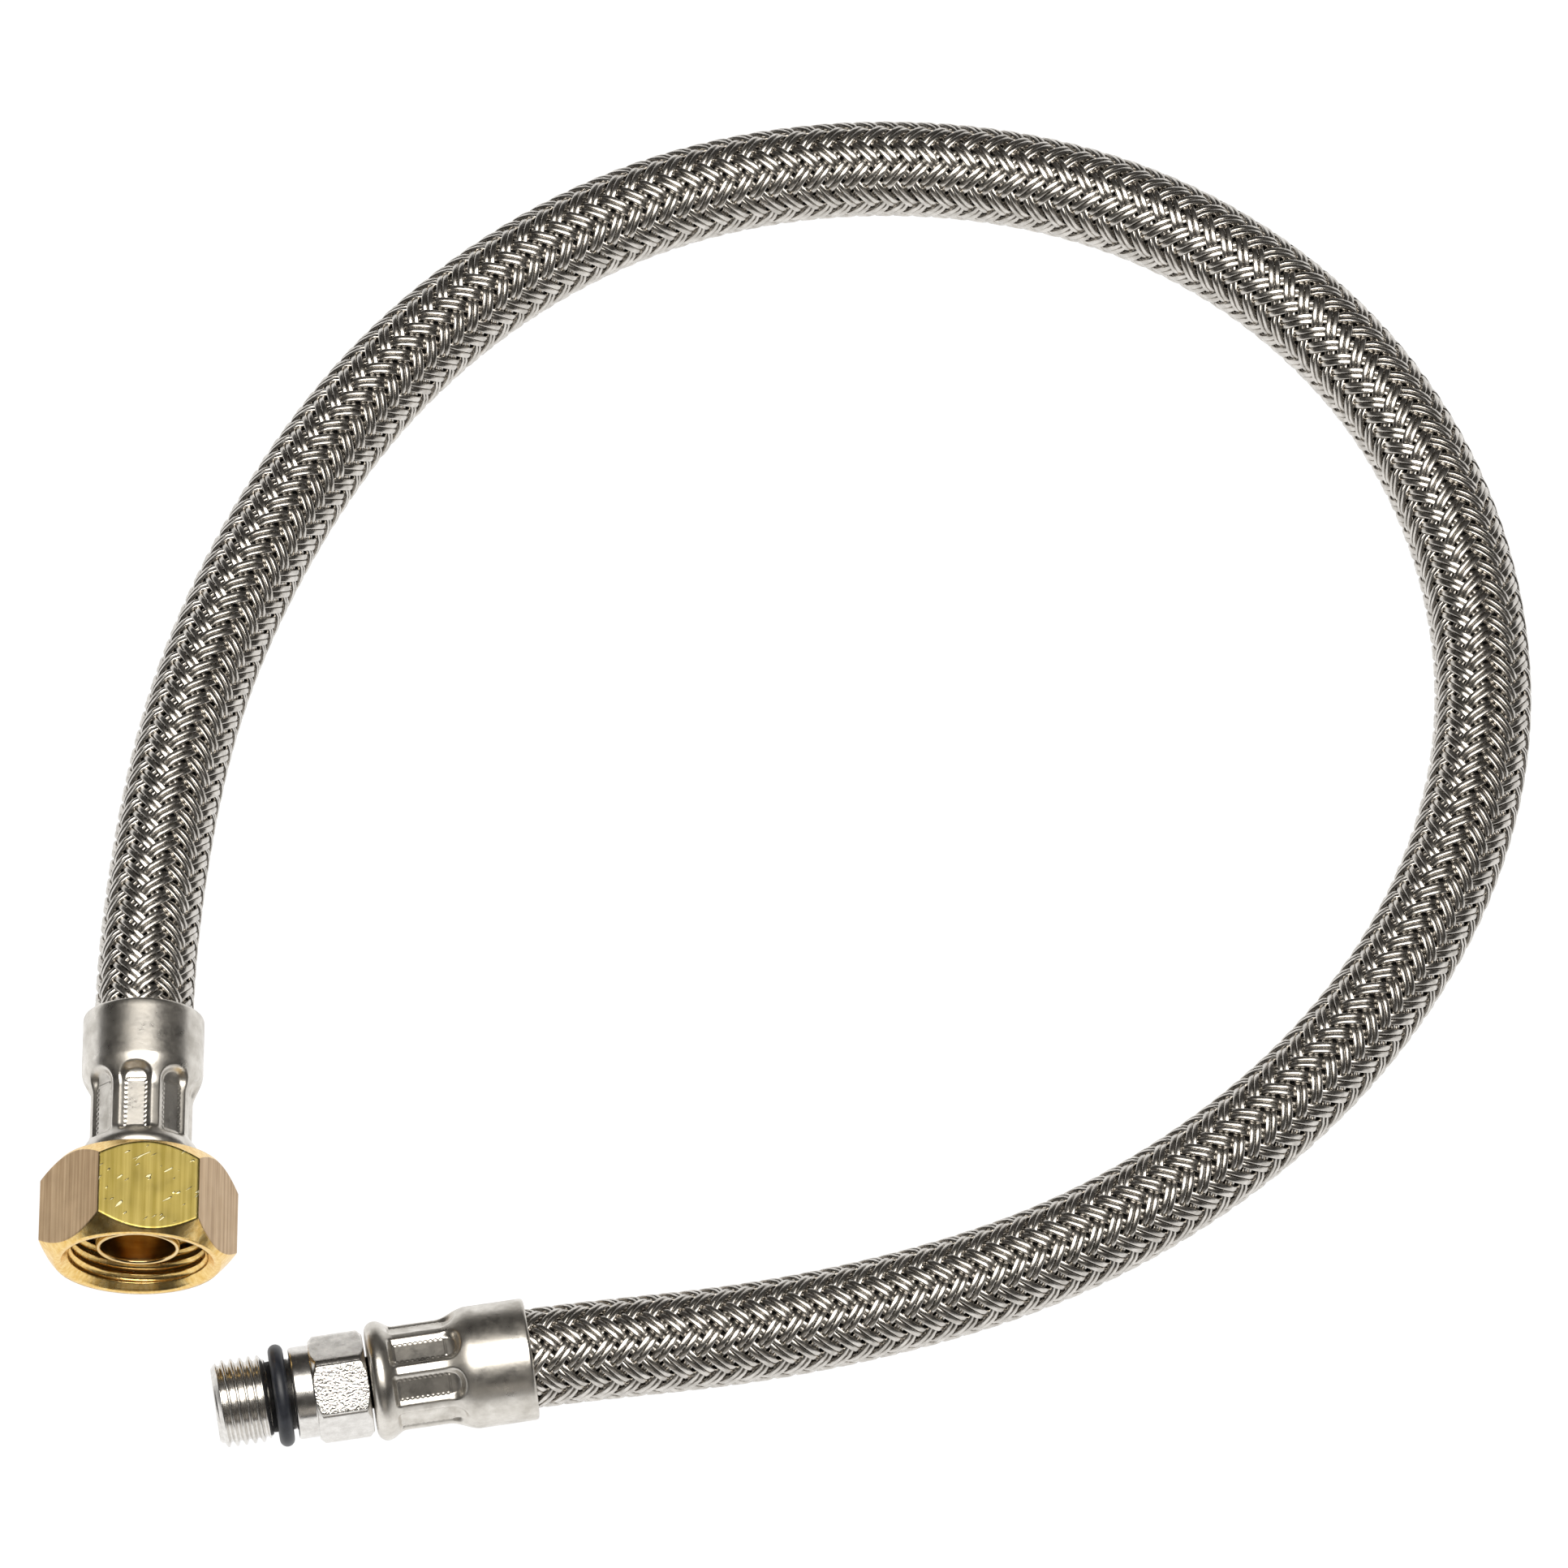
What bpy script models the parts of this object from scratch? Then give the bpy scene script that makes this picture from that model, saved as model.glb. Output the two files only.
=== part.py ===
"""Braided supply line: a hose with a G3/8 swivel nut on one end and an M10x1 connector on the other.

It lies on a floor at z = 0 in an open loop, with both ends at the front left. Lengths below are in
millimetres and become metres where a mesh or a place is made. Each fitting is turned about its own
local Z axis, which runs outwards along the fitting, and is then laid on its axis by an empty.
"""

import math

import bmesh
import bpy
import numpy as np
from mathutils import Matrix, Vector

MM = 0.001
GAP = 0.3                     # clearance between touching pieces

# Hose: wire braid over a rubber tube, as (outer radius, inner radius) where free and under the crimp.
BRAID = ((5.55, 4.6), (4.55, 3.8))
RUBBER = ((4.25, 2.75), (3.5, 2.75))
HOSE_SIDES = 12
HOSE_STEP = 9.0
HOSE_END = 3.0                # hose end to the ferrule's fitting end

# Crimped ferrule, the same on both ends.
FERRULE_LEN = 18.25
FERRULE_R = 6.9
FERRULE_BORE_R = 5.9
CRIMP_BORE_R = 4.85
PLAIN_LEN = 7.5               # from the hose end to where the crimped pockets start
WAIST_R = 5.9                 # ridges between the pockets, squeezed in from FERRULE_R
WAIST_FROM, WAIST_RAMP = 6.6, 3.6
FLARE_FROM, FLARE_RAMP = 15.0, 2.0
POCKETS = 8
POCKET_FLOOR = 5.35           # axis to a pocket's flat floor
POCKET_RAMP = 1.9
POCKET_FLAT = 6.0
POCKET_SHARE = 0.61           # share of the pocket pitch that the floor takes
UNION_POCKET_ANGLE = 3.5      # degrees from the top to a pocket's middle
CONNECTOR_POCKET_ANGLE = 9.0
SHOULDER_R = 6.75
SHOULDER_BORE_R = 3.3
SHOULDER_WALL = 1.5

# Union end: brass tail and G3/8 swivel nut.
NUT_AF = 19.6                 # across flats
NUT_LEN = 11.3
NUT_TURN = -10.0              # degrees that the nut stands turned about its axis
NUT_FACE_R = 9.4              # radius of the turned face inside the corner chamfers
NUT_CHAMFER_LEN = 2.1
NUT_THREAD_R = 7.55           # minor radius of G3/8
NUT_MOUTH_R = 8.6             # countersink at the mouth
NUT_WALL = 2.3                # back wall that pulls on the tail's flange
NUT_HOLE_R = 5.9
TAIL_NECK_R = 5.55
TAIL_FLANGE_R = 7.2
TAIL_FLANGE_LEN = 1.3
GASKET_R = 7.2
GASKET_LEN = 1.9
SPIGOT_R = 4.75
SPIGOT_BORE_R = 4.2
SPIGOT_RECESS = 1.7           # spigot end to nut mouth
INSERT_R = 2.2                # barbed insert inside the hose
INSERT_BORE_R = 1.5
BARB_R = 2.5
BARBS = 4
INSERT_LEN = 14.0             # insert's reach into the hose, from the ferrule's shoulder

# Connector end: M10x1 male connector.
STEM_R = 2.95
HEX_AF = 10.8
HEX_LEN = 6.15
HEX_TURN = -23.0              # degrees from the top to a flat's middle
HEX_CORNER_R = 6.05
HEX_CHAMFER_LEN = 0.5
COLLAR_R = 5.2
COLLAR_LEN = 2.3
GROOVE_R = 4.0
GROOVE_LEN = 2.8
THREAD_R = 4.92               # M10x1 external
THREAD_LEN = 6.1
THREAD_CHAMFER = 0.7
CONNECTOR_BORE_R = 3.3
CONNECTOR_BORE_LEN = 9.0
O_RING_SECTION = 0.85
O_RING_SIDES = 8

# The hose's middle line on the floor, from one ferrule's lip to the other's. The origin is on the
# floor, in the middle of the two ends' common box.
UNION_LIP = (-17.1, 25.1, 10.64)
UNION_DIR = (0.0, -1.0, 0.0)
CONNECTOR_LIP = (27.3, -14.8, 6.9)
CONNECTOR_DIR = (-0.98777, -0.15592, 0.0)
ROUTE = (
    UNION_LIP,
    (-15.9, 44.6, 9.95),
    (-12.1, 66.2, 8.65),
    (-4.5, 87.0, 7.2),
    (6.5, 105.9, 6.1),
    (21.1, 121.1, 5.65),
    (38.8, 131.7, 5.55),
    (58.6, 136.8, 5.55),
    (78.9, 136.6, 5.55),
    (98.5, 131.0, 5.55),
    (115.6, 119.5, 5.55),
    (128.6, 102.8, 5.55),
    (135.8, 82.3, 5.55),
    (136.3, 60.6, 5.55),
    (129.9, 40.1, 5.55),
    (118.3, 22.5, 5.55),
    (103.4, 8.8, 5.55),
    (86.3, -1.3, 5.55),
    (67.8, -7.8, 5.75),
    (48.9, -11.9, 6.4),
    CONNECTOR_LIP,
)


def clear_scene():
    for obj in list(bpy.data.objects):
        bpy.data.objects.remove(obj, do_unlink=True)


def material(name, color, roughness, metallic):
    mat = bpy.data.materials.new(name)
    mat.use_nodes = True
    shader = mat.node_tree.nodes["Principled BSDF"]
    shader.inputs["Base Color"].default_value = (*color, 1.0)
    shader.inputs["Roughness"].default_value = roughness
    shader.inputs["Metallic"].default_value = metallic
    return mat


def finish_mesh(name, bm, mat):
    """Turns the bmesh into an object in metres, smooth except at real edges."""
    bmesh.ops.recalc_face_normals(bm, faces=bm.faces)
    bmesh.ops.scale(bm, vec=(MM, MM, MM), verts=bm.verts)
    mesh = bpy.data.meshes.new(name)
    bm.to_mesh(mesh)
    bm.free()
    mesh.shade_smooth()
    mesh.set_sharp_from_angle(angle=math.radians(35))
    mesh.materials.append(mat)
    obj = bpy.data.objects.new(name, mesh)
    bpy.context.scene.collection.objects.link(obj)
    return obj


def join_rings(bm, rings):
    """Faces between each ring and the next, and between the last ring and the first."""
    for ring, after in zip(rings, rings[1:] + rings[:1]):
        for i in range(len(ring)):
            j = (i + 1) % len(ring)
            bm.faces.new((ring[i], ring[j], after[j], after[i]))


def turned(name, outline, mat, sides=36):
    """A ring turned about Z from a closed outline of (radius, z) points."""
    bm = bmesh.new()
    rings = []
    for radius, z in outline:
        ring = []
        for i in range(sides):
            angle = 2 * math.pi * i / sides
            ring.append(bm.verts.new((radius * math.cos(angle), radius * math.sin(angle), z)))
        rings.append(ring)
    join_rings(bm, rings)
    return finish_mesh(name, bm, mat)


def hexagon(name, across_flats, z0, z1, turn, mat):
    """A hexagonal prism along Z, with a flat facing +X and then turned by some degrees about Z."""
    bm = bmesh.new()
    corner_r = across_flats / math.sqrt(3)
    bmesh.ops.create_cone(bm, cap_ends=True, segments=6, radius1=corner_r, radius2=corner_r, depth=z1 - z0)
    bmesh.ops.rotate(bm, matrix=Matrix.Rotation(math.radians(turn), 3, "Z"), verts=bm.verts)
    bmesh.ops.translate(bm, vec=(0, 0, (z0 + z1) / 2), verts=bm.verts)
    return finish_mesh(name, bm, mat)


def combine(obj, other, operation):
    """Adds a Boolean whose other object stays hidden and out of the build."""
    other.hide_render = True
    other.display_type = "WIRE"
    other.parent = obj
    boolean = obj.modifiers.new(other.name, "BOOLEAN")
    boolean.operation = operation
    boolean.object = other


def fitting_frame(name, lip, direction):
    """An empty at the ferrule's lip whose Z axis runs out along the fitting and whose X faces up."""
    z_axis = Vector(direction).normalized()
    x_axis = Vector((0.0, 0.0, 1.0))
    y_axis = z_axis.cross(x_axis)
    empty = bpy.data.objects.new(name, None)
    bpy.context.scene.collection.objects.link(empty)
    rotation = Matrix((x_axis, y_axis, z_axis)).transposed().to_4x4()
    empty.matrix_world = Matrix.Translation(Vector(lip) * MM) @ rotation
    return empty


def smooth_curve(points, start_dir, end_dir, step):
    """Points every step or so along the cubic spline through points with the given end directions."""
    pts = np.array(points, float)
    chord = np.linalg.norm(np.diff(pts, axis=0), axis=1)
    count = len(pts)
    system = np.zeros((count, count))
    right = np.zeros((count, 3))
    system[0, 0] = system[-1, -1] = 1
    right[0], right[-1] = start_dir, end_dir
    slope = np.diff(pts, axis=0) / chord[:, None]
    for i in range(1, count - 1):
        before, after = chord[i - 1], chord[i]
        system[i, i - 1:i + 2] = 1 / before, 2 / before + 2 / after, 1 / after
        right[i] = 3 * (slope[i - 1] / before + slope[i] / after)
    tangent = np.linalg.solve(system, right)
    out = [pts[0]]
    for i, length in enumerate(chord):
        parts = max(1, round(length / step))
        for k in range(1, parts + 1):
            t = k / parts
            out.append(
                (2 * t**3 - 3 * t**2 + 1) * pts[i] + (t**3 - 2 * t**2 + t) * length * tangent[i]
                + (3 * t**2 - 2 * t**3) * pts[i + 1] + (t**3 - t**2) * length * tangent[i + 1]
            )
    return out


def hose_stations(free_radii, crimped_radii):
    """(point, outer radius, inner radius) along the hose, with its two ends inside the ferrules."""
    union_dir, connector_dir = np.array(UNION_DIR), np.array(CONNECTOR_DIR)
    free = smooth_curve(ROUTE, -union_dir, connector_dir, HOSE_STEP)
    inside = (
        (PLAIN_LEN - 1.5, free_radii),
        (PLAIN_LEN, crimped_radii),
        (FERRULE_LEN - HOSE_END, crimped_radii),
    )
    start = [(np.array(UNION_LIP) + union_dir * z, *radii) for z, radii in reversed(inside)]
    stop = [(np.array(CONNECTOR_LIP) + connector_dir * z, *radii) for z, radii in inside]
    return start + [(point, *free_radii) for point in free] + stop


def hose_tube(name, radii, mat):
    """One open-ended tube along the hose's middle line, which never stands upright."""
    stations = hose_stations(*radii)
    points = np.array([point for point, _, _ in stations])
    along = np.gradient(points, axis=0)
    bm = bmesh.new()
    outer, inner = [], []
    for (point, outer_r, inner_r), direction in zip(stations, along):
        side = np.cross(direction, (0.0, 0.0, 1.0))
        side /= np.linalg.norm(side)
        top = np.cross(side, direction)
        top /= np.linalg.norm(top)
        for rings, radius in ((outer, outer_r), (inner, inner_r)):
            ring = []
            for i in range(HOSE_SIDES):
                angle = 2 * math.pi * i / HOSE_SIDES
                ring.append(bm.verts.new(point + radius * (math.sin(angle) * side - math.cos(angle) * top)))
            rings.append(ring)
    join_rings(bm, outer + inner[::-1])
    return finish_mesh(name, bm, mat)


def ease(share):
    """0 to 1 with flat ends as share goes from 0 to 1."""
    share = min(1.0, max(0.0, share))
    return share * share * (3 - 2 * share)


def body_radius(z):
    """Outer radius of the ferrule between its pockets."""
    waist = (FERRULE_R - WAIST_R) * ease((z - WAIST_FROM) / WAIST_RAMP)
    return FERRULE_R - waist + (SHOULDER_R - WAIST_R) * ease((z - FLARE_FROM) / FLARE_RAMP)


def crimped_radius(share_of_pitch, z):
    """Outer radius of the ferrule at z; a pocket's middle is at half the pitch."""
    body = body_radius(z)
    if not PLAIN_LEN < z < PLAIN_LEN + POCKET_RAMP + POCKET_FLAT:
        return body
    down = min(1.0, (z - PLAIN_LEN) / POCKET_RAMP)
    width = POCKET_SHARE * math.sqrt(1 - (1 - down)**2)
    if abs(share_of_pitch - 0.5) * 2 > width:
        return body
    floor = POCKET_FLOOR / math.cos((share_of_pitch - 0.5) * 2 * math.pi / POCKETS)
    return body - (body - floor) * min(1.0, 1.6 * down)


def ferrule(name, pocket_angle, mat):
    """A shell with crimped pockets, its lip at z = 0 and its shoulder at z = FERRULE_LEN."""
    pocket_end = PLAIN_LEN + POCKET_RAMP + POCKET_FLAT
    crimped_z = (3.5, WAIST_FROM, PLAIN_LEN - 0.5, PLAIN_LEN, PLAIN_LEN + 0.6, PLAIN_LEN + 1.2,
                 PLAIN_LEN + POCKET_RAMP, pocket_end - 0.5, pocket_end, pocket_end + 0.6, pocket_end + 1.2)
    outline = [(FERRULE_R - 0.3, 0.0), (FERRULE_R, 0.35)]
    outline += [(None, z) for z in crimped_z]
    outline += [
        (SHOULDER_R, FERRULE_LEN - 1.2),
        (SHOULDER_R - 0.2, FERRULE_LEN - 0.6),
        (SHOULDER_R - 0.6, FERRULE_LEN - 0.2),
        (SHOULDER_R - 1.2, FERRULE_LEN),
        (SHOULDER_BORE_R, FERRULE_LEN),
        (SHOULDER_BORE_R, FERRULE_LEN - SHOULDER_WALL),
        (CRIMP_BORE_R, FERRULE_LEN - SHOULDER_WALL),
        (CRIMP_BORE_R, PLAIN_LEN + 0.2),
        (FERRULE_BORE_R, PLAIN_LEN - 1.3),
        (FERRULE_BORE_R, 0.0),
    ]
    pitch = 2 * math.pi / POCKETS
    shares = (0.0, 0.09, 0.2, 0.35, 0.5, 0.65, 0.8, 0.91)
    bm = bmesh.new()
    rings = []
    for radius, z in outline:
        ring = []
        for pocket in range(POCKETS):
            for share in shares:
                angle = (pocket + share - 0.5) * pitch + math.radians(pocket_angle)
                r = crimped_radius(share, z) if radius is None else radius
                ring.append(bm.verts.new((r * math.cos(angle), r * math.sin(angle), z)))
        rings.append(ring)
    join_rings(bm, rings)
    return finish_mesh(name, bm, mat)


def barb_outline(z_shoulder):
    """Outer outline of a barbed insert, from its free end inside the hose to the ferrule's shoulder."""
    z_free = z_shoulder - INSERT_LEN
    pitch = (INSERT_LEN - 4.0) / BARBS
    points = [(INSERT_R - 0.3, z_free)]
    for i in range(BARBS):
        z = z_free + 0.4 + i * pitch
        points += [(INSERT_R, z), (BARB_R, z + 0.8 * pitch), (INSERT_R, z + 0.82 * pitch)]
    return points


def union_tail(mat):
    """Brass tail: barbed insert, neck through the nut's back wall, flange and spigot."""
    mouth = FERRULE_LEN + GAP + NUT_LEN
    back = FERRULE_LEN + GAP
    flange = back + NUT_WALL + GAP
    outline = barb_outline(FERRULE_LEN)
    outline += [(INSERT_R, FERRULE_LEN - 2.6), (STEM_R, FERRULE_LEN - 2.4), (STEM_R, FERRULE_LEN + GAP)]
    outline += [(TAIL_NECK_R, FERRULE_LEN + GAP), (TAIL_NECK_R, flange), (TAIL_FLANGE_R, flange)]
    outline += [(TAIL_FLANGE_R, flange + TAIL_FLANGE_LEN), (SPIGOT_R, flange + TAIL_FLANGE_LEN)]
    outline += [(SPIGOT_R, mouth - SPIGOT_RECESS - 0.2), (SPIGOT_R - 0.2, mouth - SPIGOT_RECESS)]
    outline += [(SPIGOT_BORE_R, mouth - SPIGOT_RECESS), (SPIGOT_BORE_R, back + 0.8)]
    outline += [(INSERT_BORE_R, back - 1.8), (INSERT_BORE_R, FERRULE_LEN - INSERT_LEN)]
    return turned("union_tail", outline, mat)


def union_gasket(mat):
    start = FERRULE_LEN + GAP + NUT_WALL + GAP + TAIL_FLANGE_LEN + GAP
    bore = SPIGOT_R + GAP
    outline = [(bore, start), (GASKET_R, start), (GASKET_R, start + GASKET_LEN), (bore, start + GASKET_LEN)]
    return turned("union_gasket", outline, mat)


def union_nut(mat):
    """Hexagon nut with turned corners, a plain bore at the thread's minor diameter and an open mouth."""
    back = FERRULE_LEN + GAP
    mouth = back + NUT_LEN
    corner = NUT_AF / math.sqrt(3) + 0.2
    drop = (corner - NUT_FACE_R) * NUT_CHAMFER_LEN / (NUT_AF / math.sqrt(3) - NUT_FACE_R)
    nut = hexagon("union_nut", NUT_AF, back, mouth, NUT_TURN, mat)
    rounded = turned(
        "nut_turning",
        [(0.5, back), (NUT_FACE_R, back), (corner, back + drop), (corner, mouth - drop),
         (NUT_FACE_R, mouth), (0.5, mouth)],
        mat, 48,
    )
    combine(nut, rounded, "INTERSECT")
    thread_from = back + NUT_WALL
    bore = turned(
        "nut_bore",
        [(0.2, back - 1), (NUT_HOLE_R, back - 1), (NUT_HOLE_R, thread_from), (NUT_THREAD_R, thread_from),
         (NUT_THREAD_R, mouth - 0.9), (NUT_MOUTH_R, mouth), (NUT_MOUTH_R, mouth + 1), (0.2, mouth + 1)],
        mat,
    )
    combine(nut, bore, "DIFFERENCE")
    return nut


def male_connector(mat):
    """Barbed insert, hexagon, collar, O-ring groove and M10x1 end in one turned piece."""
    hex_from = FERRULE_LEN + GAP
    hex_to = hex_from + HEX_LEN
    collar_to = hex_to + COLLAR_LEN
    groove_to = collar_to + GROOVE_LEN
    end = groove_to + THREAD_LEN
    outline = barb_outline(FERRULE_LEN)
    outline += [(INSERT_R, FERRULE_LEN - 2.6), (STEM_R, FERRULE_LEN - 2.4), (STEM_R, hex_from + 0.3)]
    outline += [(COLLAR_R, hex_from + 0.3)]
    outline += [(COLLAR_R, collar_to - 0.2), (COLLAR_R - 0.2, collar_to), (GROOVE_R, collar_to)]
    outline += [(GROOVE_R, groove_to), (THREAD_R - 0.3, groove_to), (THREAD_R, groove_to + 0.4)]
    outline += [(THREAD_R, end - THREAD_CHAMFER), (THREAD_R - THREAD_CHAMFER, end)]
    outline += [(CONNECTOR_BORE_R, end), (CONNECTOR_BORE_R, end - CONNECTOR_BORE_LEN)]
    outline += [(INSERT_BORE_R, end - CONNECTOR_BORE_LEN - 1.8), (INSERT_BORE_R, FERRULE_LEN - INSERT_LEN)]
    connector = turned("male_connector", outline, mat)
    prism = hexagon("connector_hexagon", HEX_AF, hex_from, hex_to, HEX_TURN, mat)
    drop = HEX_CHAMFER_LEN
    rounded = turned(
        "hexagon_turning",
        [(4.0, hex_from), (HEX_CORNER_R - drop, hex_from), (HEX_CORNER_R, hex_from + drop),
         (HEX_CORNER_R, hex_to - drop), (HEX_CORNER_R - drop, hex_to), (4.0, hex_to)],
        mat,
    )
    combine(prism, rounded, "INTERSECT")
    combine(connector, prism, "UNION")
    return connector


def o_ring(mat):
    """Rubber ring in the connector's groove."""
    groove_mid = FERRULE_LEN + GAP + HEX_LEN + COLLAR_LEN + GROOVE_LEN / 2
    ring_r = GROOVE_R + 0.1 + O_RING_SECTION
    outline = []
    for i in range(O_RING_SIDES):
        angle = 2 * math.pi * i / O_RING_SIDES
        outline.append((ring_r + O_RING_SECTION * math.cos(angle), groove_mid + O_RING_SECTION * math.sin(angle)))
    return turned("male_o_ring", outline, mat, 28)


def main():
    clear_scene()
    nickel = material("nickel", (0.62, 0.60, 0.55), 0.28, 1.0)
    bright_nickel = material("bright_nickel", (0.72, 0.71, 0.68), 0.18, 1.0)
    brass = material("brass", (0.72, 0.55, 0.26), 0.3, 1.0)
    steel = material("braid_steel", (0.55, 0.53, 0.50), 0.35, 1.0)
    rubber = material("rubber", (0.02, 0.02, 0.022), 0.6, 0.0)
    fibre = material("gasket_fibre", (0.10, 0.09, 0.08), 0.8, 0.0)

    hose_tube("braid_sleeve", BRAID, steel)
    hose_tube("inner_hose", RUBBER, rubber)

    union = fitting_frame("union_axis", UNION_LIP, UNION_DIR)
    pieces = [ferrule("union_ferrule", UNION_POCKET_ANGLE, nickel), union_tail(brass)]
    pieces += [union_gasket(fibre), union_nut(brass)]
    for piece in pieces:
        piece.parent = union
    connector = fitting_frame("connector_axis", CONNECTOR_LIP, CONNECTOR_DIR)
    pieces = [ferrule("connector_ferrule", CONNECTOR_POCKET_ANGLE, nickel)]
    pieces += [male_connector(bright_nickel), o_ring(rubber)]
    for piece in pieces:
        piece.parent = connector


main()
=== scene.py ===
"""Looks of the braided supply line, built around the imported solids.

Lengths are in millimetres in the frame's own axes, and become metres where a mesh is made. Each
fitting has its own axes: z runs out along it from the ferrule's lip, and x faces up.
"""

import math

import bpy
import numpy as np
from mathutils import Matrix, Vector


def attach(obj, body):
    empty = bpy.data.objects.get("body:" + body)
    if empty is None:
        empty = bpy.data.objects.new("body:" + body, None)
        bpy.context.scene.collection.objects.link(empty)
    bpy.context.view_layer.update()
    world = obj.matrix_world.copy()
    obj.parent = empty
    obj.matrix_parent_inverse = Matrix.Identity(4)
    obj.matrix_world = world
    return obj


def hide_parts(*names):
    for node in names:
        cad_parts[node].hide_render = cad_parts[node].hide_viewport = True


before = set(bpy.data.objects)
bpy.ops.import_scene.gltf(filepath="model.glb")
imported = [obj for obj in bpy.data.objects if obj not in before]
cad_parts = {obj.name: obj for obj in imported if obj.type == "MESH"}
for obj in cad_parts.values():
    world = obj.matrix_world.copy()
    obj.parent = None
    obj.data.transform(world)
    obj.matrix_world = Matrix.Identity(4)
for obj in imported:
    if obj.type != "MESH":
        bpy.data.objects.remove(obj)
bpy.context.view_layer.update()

MM = 0.001
TURN = 2 * math.pi
ROOT = "hose_line"
NUT = "union_nut"

# The hose's middle line, as the solids have it.
UNION_LIP = (-17.1, 25.1, 10.64)
UNION_DIR = (0.0, -1.0, 0.0)
CONNECTOR_LIP = (27.3, -14.8, 6.9)
CONNECTOR_DIR = (-0.98777, -0.15592, 0.0)
ROUTE = (
    UNION_LIP,
    (-15.9, 44.6, 9.95),
    (-12.1, 66.2, 8.65),
    (-4.5, 87.0, 7.2),
    (6.5, 105.9, 6.1),
    (21.1, 121.1, 5.65),
    (38.8, 131.7, 5.55),
    (58.6, 136.8, 5.55),
    (78.9, 136.6, 5.55),
    (98.5, 131.0, 5.55),
    (115.6, 119.5, 5.55),
    (128.6, 102.8, 5.55),
    (135.8, 82.3, 5.55),
    (136.3, 60.6, 5.55),
    (129.9, 40.1, 5.55),
    (118.3, 22.5, 5.55),
    (103.4, 8.8, 5.55),
    (86.3, -1.3, 5.55),
    (67.8, -7.8, 5.75),
    (48.9, -11.9, 6.4),
    CONNECTOR_LIP,
)

# Braid: carriers each way, each of two wires, woven two over and two under.
HOSE_R = 5.64
CARRIERS = 12
CARRIERS_PER_PIECE = 4
WIRE_WIDE = 0.345             # half of a wire's width, and of its thickness
WIRE_THICK = 0.34
WIRE_PAIR = 0.70              # middle to middle of the two wires of a carrier
LEAD = 28.5                   # hose length for one turn of a wire
BRAID_MID_R = HOSE_R - 2 * WIRE_THICK
WEAVE_SHARPNESS = 2.2         # how level a wire runs between its crossings
BRAID_STEP = 0.45
BRAID_INTO_FERRULE = 6.0
# A wire's section, drawn flat where it rubs: shares of its half thickness and half width.
WIRE_OUTLINE = (
    (0.3, 1.0),
    (0.88, 0.8),
    (1.0, 0.45),
    (1.0, -0.45),
    (0.88, -0.8),
    (0.3, -1.0),
    (-0.8, -0.7),
    (-0.8, 0.7),
)
RUBBER_R = 4.17
RUBBER_BORE = 2.75
RUBBER_SIDES = 48
HOSE_INTO_FERRULE = 15.2

# Fittings, as the solids have them.
FERRULE_LEN = 18.25
FERRULE_R = 6.9
FERRULE_BORE_R = 5.85
CRIMP_BORE_R = 4.85
SHOULDER_BORE_R = 3.3
WAIST_R = 5.9
WAIST_FROM, WAIST_RAMP = 6.6, 3.6
SHOULDER_R = 6.75
FLARE_FROM, FLARE_RAMP = 15.0, 2.0
POCKETS = 8
POCKET_FROM, POCKET_TO, POCKET_HALF = 7.5, 16.0, 2.0
POCKET_CORNER = 0.7
POCKET_WALL = 0.78            # width of a pocket's sloping side
POCKET_FLOOR = 5.35           # axis to a pocket's flat floor
FLOOR_FROM, FLOOR_TO, FLOOR_HALF = 9.5, 15.3, 1.22
TOOTH_PITCH = 0.58            # of the small teeth that the press leaves round each floor
TOOTH_HEIGHT = 0.075
CRIMP_STEP = 0.082
UNION_POCKET_ANGLE = 3.5
CONNECTOR_POCKET_ANGLE = 9.0
GAP = 0.3
NUT_AF = 19.6
NUT_LEN = 11.3
NUT_TURN = -10.0
NUT_FACE_R = 9.4
NUT_CHAMFER_SLOPE = 0.91      # radius gained for each mm along the nut
NUT_WALL = 2.3
NUT_HOLE_R = 5.9
NUT_MINOR_R = 7.5
NUT_THREAD_DEPTH = 0.5
NUT_PITCH = 1.337
NUT_MOUTH_R = 8.7
TAIL_NECK_R = 5.55
TAIL_FLANGE_R = 7.2
TAIL_FLANGE_LEN = 1.3
GASKET_LEN = 1.9
SPIGOT_R = 4.75
SPIGOT_BORE_R = 4.2
SPIGOT_RECESS = 1.7           # spigot end to nut mouth
INSERT_LEN = 14.0             # barbed insert's reach into the hose, from the ferrule's shoulder
INSERT_R = 2.2
INSERT_BORE_R = 1.5
BARB_R = 2.5
BARB_PITCH = 2.5
BARBS = 4
STEM_R = 2.95
HEX_AF = 10.8
HEX_LEN = 6.15
HEX_TURN = -23.0
HEX_CORNER_R = 6.05
COLLAR_R = 5.2
COLLAR_LEN = 2.3
GROOVE_R = 4.0
GROOVE_LEN = 2.8
THREAD_R = 4.92
THREAD_LEN = 6.1
THREAD_DEPTH = 0.58
THREAD_PITCH = 1.0
O_RING_SECTION = 0.85
BORE_R = 3.3

# Stand in an outline for a radius that is worked out from the angle and z.
SHAPED = 50.0
SCREW = 60.0

CAMERA_TARGET = (55.8, 59.5, 0.0)
CAMERA_ELEVATION = 65.5       # degrees
CAMERA_DISTANCE = 1.2         # metres, as are all lengths of the stage
CAMERA_LENS = 237.0
STAGE_HALF = 6.0
STAGE_DROP = 0.0002
LIGHTS_AIM = (0.056, 0.06, 0.0)


# Camera and stage


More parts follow.
